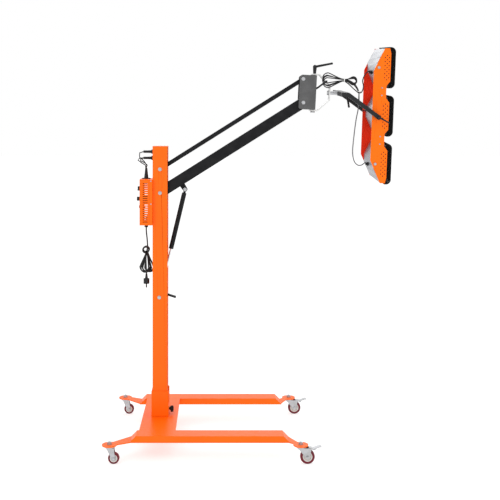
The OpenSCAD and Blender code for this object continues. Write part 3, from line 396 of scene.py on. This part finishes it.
def tied_loops(tie, along, across, stack, main, ear, turns):
    """A cord wound in pinched loops through a tie, each loop beside the last along stack.

    main and ear give the length and end radius of the two ends, turns the tilt of each loop's two ends.
    pinch is half the distance between the two strands of a loop in the tie.
    """
    pinch = stack.length * 0.53
    route = []
    for level, (main_turn, ear_turn) in enumerate(turns):
        out = [(0.0, -pinch, level)]
        out += [(s, w, level) for s, w in lobe(*main, pinch, main_turn)]
        out.append((0.0, pinch, level))
        back = lobe(*ear, pinch, 180 + ear_turn)
        out += [(s, w, level + k / (len(back) - 1)) for k, (s, w) in enumerate(back)]
        route += [tie + along * s + across * w + stack * (up - len(turns) / 2) for s, w, up in out]
    return route + [tie - across * pinch + stack * len(turns) / 2]


# ---- Frames of the head, yoke and lamp, from the joints ----

def joint_frame(name, lean):
    """A frame with its origin on the joint and its X and Z leaned forward about Y."""
    return Matrix.Translation(Vector(joints[name]["pos_m"])) @ Matrix.Rotation(math.radians(lean), 4, "Y")


HEAD_LEAN = 3.0
LAMP_TILT = -1.4
LAMP_RISE = 5 * MM
bracket = joint_frame("head_level", HEAD_LEAN)
roll_degrees = math.degrees(math.asin(Vector(joints["lamp_tilt"]["axis"]).dot(bracket.to_3x3().col[2])))
lamp = (Matrix.Translation(Vector(joints["lamp_tilt"]["pos_m"]))
        @ Matrix.Rotation(math.radians(HEAD_LEAN), 4, "Y")
        @ Matrix.Rotation(math.radians(roll_degrees), 4, "X")
        @ Matrix.Rotation(math.radians(LAMP_TILT), 4, "Y"))


def in_bracket(points):
    return [bracket @ (Vector(p) * MM) for p in points]


# ---- Guards ----

HEAD_PITCH = 223 * MM
GUARD_REACH = 72.5 * MM
GUARD_HALF = 95 * MM
GUARD_BACK = 41 * MM
GUARD_CORNER = 22 * MM
GUARD_SPAN = 279 * MM
GUARD_WIRES = 21
CROSS_WIRE_HEIGHT = 30 * MM
WIRE = 3.0 * MM
HEADS = [v * HEAD_PITCH + LAMP_RISE for v in (-1, 0, 1)]


def guard_profile(y, middle):
    """One bent wire: out from the housing, round the front and back in."""
    front = GUARD_REACH - WIRE / 2
    high = GUARD_HALF - WIRE / 2
    corner = GUARD_CORNER - WIRE / 2
    points = [Vector((GUARD_BACK, y, high))]
    points += [Vector((front - corner + corner * math.sin(a), y, high - corner + corner * math.cos(a)))
               for a in (math.radians(15 * k) for k in range(7))]
    mirrored = [Vector((p.x, p.y, -p.z)) for p in reversed(points)]
    return [lamp @ (p + Vector((0, 0, middle))) for p in points + mirrored]


def make_guards():
    """Bent wires side by side on each head, tied by two cross wires in front and one at each root."""
    routes = []
    for middle in HEADS:
        for i in range(GUARD_WIRES):
            routes.append(guard_profile(-GUARD_SPAN / 2 + GUARD_SPAN * i / (GUARD_WIRES - 1), middle))
        cross = [(GUARD_REACH - 1.6 * WIRE, side * CROSS_WIRE_HEIGHT) for side in (-1, 1)]
        cross += [(GUARD_BACK + WIRE, side * (GUARD_HALF - 1.4 * WIRE)) for side in (-1, 1)]
        for x, z in cross:
            ends = [Vector((x, side * (GUARD_SPAN / 2 + WIRE / 2), middle + z)) for side in (-1, 1)]
            routes.append([lamp @ p for p in ends])
    guards = tube("wire_guards", routes, WIRE, guard_wire(), sides=10)
    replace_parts(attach(guards, "lamp"), "guards")


make_guards()


# ---- Filaments ----

EMITTER_REACH = 26 * MM
FILAMENT_HALF = 112 * MM
FILAMENT_WIRE = 0.5 * MM
COIL_R = 1.4 * MM
COIL_TURNS = 60
STEPS_A_TURN = 6


def make_filaments():
    """A fine coil inside each quartz tube, on the tube's own line."""
    steps = COIL_TURNS * STEPS_A_TURN
    routes = []
    for middle in HEADS:
        helix = []
        for i in range(steps + 1):
            turn = 2 * math.pi * i / STEPS_A_TURN
            x = EMITTER_REACH + COIL_R * math.cos(turn)
            y = -FILAMENT_HALF + 2 * FILAMENT_HALF * i / steps
            helix.append(lamp @ Vector((x, y, middle + COIL_R * math.sin(turn))))
        routes.append(helix)
    coils = tube("filaments", routes, FILAMENT_WIRE, filament(), sides=5)
    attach(coils, "lamp")


make_filaments()


# ---- Lamp leads ----

LEAD = 5 * MM
FEED = [(40, -14, 62), (62, -16, 70), (84, -24, 88), (108, -30, 106)]
TRUNK = {
    "upper": [(190, -36, 119), (214, -38, 114), (238, -32, 100), (254, -24, 80), (263, -14, 60)],
    "middle": [(190, -30, 115), (212, -32, 109), (236, -27, 95), (252, -20, 78), (262, -9, 60)],
    "lower": [(188, -42, 111), (208, -44, 98), (230, -38, 80), (250, -28, 66), (260, -19, 60)],
}
BRANCHES = {
    "top_lead": [(263, -14, 62), (272, -12, 62), (280, -10, 74), (283, -8, 95), (278, -8, 118),
                 (282, -8, 136), (292, -9, 156), (304, -10, 166), (312, -10, 168)],
    "middle_lead": [(263, -14, 62), (265, -10, 38), (268, -6, 12), (276, 0, -12), (290, 4, -22),
                    (307, 5, -22), (315, 5, -22)],
    "bottom_lead": [(263, -14, 62), (262, -18, 30), (262, -20, -16), (255, -18, -68), (250, -14, -140),
                    (248, -6, -212), (254, 4, -248), (264, 12, -270), (280, 18, -283), (298, 22, -282),
                    (313, 24, -271), (322, 24, -268)],
}
LEAD_TIE = (185, -38, 116)
LEAD_PITCH = 1.1
LEAD_MAIN = (100 * MM, 23 * MM)
LEAD_EAR = (60 * MM, 15 * MM)
LEAD_TURNS = [(6, -3), (12, 4), (-5, 0), (3, -6)]


def lead_hank():
    """Loops of spare lamp lead through a tie, lying along the head's right side."""
    tie = in_bracket([LEAD_TIE])[0]
    back, side, up = (bracket.to_3x3() @ Vector(d) for d in ((-1, 0, 0), (0, 1, 0), (0, 0, 1)))
    return smooth_route(tied_loops(tie, back, -up, side * LEAD * LEAD_PITCH, LEAD_MAIN, LEAD_EAR, LEAD_TURNS))


def make_lamp_leads():
    offsets = [(0, -2.6, 0), (0, 2.6, 0), (0, 0, 4.5)]
    middle = smooth_route(in_bracket(FEED))
    feed = tube("feed_leads", [[p + Vector(o) * MM for p in middle] for o in offsets], LEAD, black_jacket)
    hank = tube("lead_hank_loops", [lead_hank()], LEAD, black_jacket)
    strands = [smooth_route(in_bracket(points)) for points in TRUNK.values()]
    trunk = tube("lead_trunk", strands, LEAD, black_jacket)
    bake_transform(feed)
    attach(hank, "swivel")
    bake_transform(trunk)
    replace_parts(hank, "lead_hank")
    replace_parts(feed, "lamp_leads")
    for name, points in BRANCHES.items():
        jacket = grey_jacket if name == "bottom_lead" else black_jacket
        branch = tube(name, [smooth_route(in_bracket(points))], LEAD, jacket)
        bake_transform(branch)


make_lamp_leads()


# ---- Mains cord ----

MAINS = 6.5 * MM
MAINS_PITCH = 1.08
MAINS_MAIN = (90 * MM, 20 * MM)
MAINS_EAR = (30 * MM, 14 * MM)
MAINS_TURNS = [(-3, 12), (8, 16), (-10, 18), (1, 12), (12, 15), (-6, 10)]
MAINS_TIE_DROP = 31 * MM
LEAD_IN = [(-492, 0, 997), (-492, 0, 985), (-491, 1, 968), (-489, 7, 945), (-488, 17, 922), (-488, 25, 898)]


def make_mains_cord():
    """The cord hangs from its gland, is wound in tied loops and ends in the plug below them."""
    low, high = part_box("mains_hank")
    plug_low, plug_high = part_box("mains_plug")
    plug_top = Vector(((plug_low.x + plug_high.x) / 2, (plug_low.y + plug_high.y) / 2, plug_high.z))
    tie = Vector((plug_top.x, 0.0, high.z - MAINS_TIE_DROP))
    down, back, right = Vector((0, 0, -1)), Vector((1, 0, 0)), Vector((0, -1, 0))
    loops = tied_loops(tie, down, back, right * MAINS * MAINS_PITCH, MAINS_MAIN, MAINS_EAR, MAINS_TURNS)
    last = loops[-1]
    lead_out = [last.lerp(plug_top, t) for t in (0.3, 0.7, 1.0)]
    route = smooth_route([Vector(p) * MM for p in LEAD_IN] + loops + lead_out, steps=4)
    cord = tube("mains_cord_wound", [route], MAINS, black_jacket, sides=12)
    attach(cord, "chassis")
    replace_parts(cord, "mains_cord", "mains_hank")


make_mains_cord()


# ---- Studio ----

FLOOR_REACH = 40.0
LIGHTS = {
    "key": ((-2.6, -3.2, 3.6), 2.4, 50),
    "fill": ((3.4, -3.0, 2.6), 2.6, 25),
    "back": ((0.5, 3.4, 3.4), 2.8, 40),
}
AIM = Vector((0, 0, 0.9))


def make_studio():
    """A pale floor, three soft lights (place, size, watts) and a white surround."""
    floor_mesh = bpy.data.meshes.new("floor")
    reach = FLOOR_REACH
    floor_mesh.from_pydata([(-reach, -reach, 0), (reach, -reach, 0), (reach, reach, 0), (-reach, reach, 0)],
                           [], [(0, 1, 2, 3)])
    floor = bpy.data.objects.new("floor", floor_mesh)
    white = Finish("floor", (0.5, 0.5, 0.5), 0.8).shine(0.0).vary_roughness(3, 0.05)
    white.shader.inputs["Emission Color"].default_value = (1.0, 1.0, 1.0, 1.0)
    white.shader.inputs["Emission Strength"].default_value = 0.6
    floor_mesh.materials.append(white.material)
    bpy.context.scene.collection.objects.link(floor)
    for name, (place, size, power) in LIGHTS.items():
        data = bpy.data.lights.new(name, "AREA")
        data.size = size
        data.energy = power
        light = bpy.data.objects.new(name, data)
        light.location = place
        light.rotation_euler = (AIM - Vector(place)).to_track_quat("-Z", "Y").to_euler()
        bpy.context.scene.collection.objects.link(light)
    world = bpy.data.worlds.new("world")
    world.use_nodes = True
    world.node_tree.nodes["Background"].inputs["Color"].default_value = (1.0, 1.0, 1.0, 1.0)
    world.node_tree.nodes["Background"].inputs["Strength"].default_value = 1.0
    bpy.context.scene.world = world
    bpy.context.scene.view_settings.view_transform = "Standard"


make_studio()
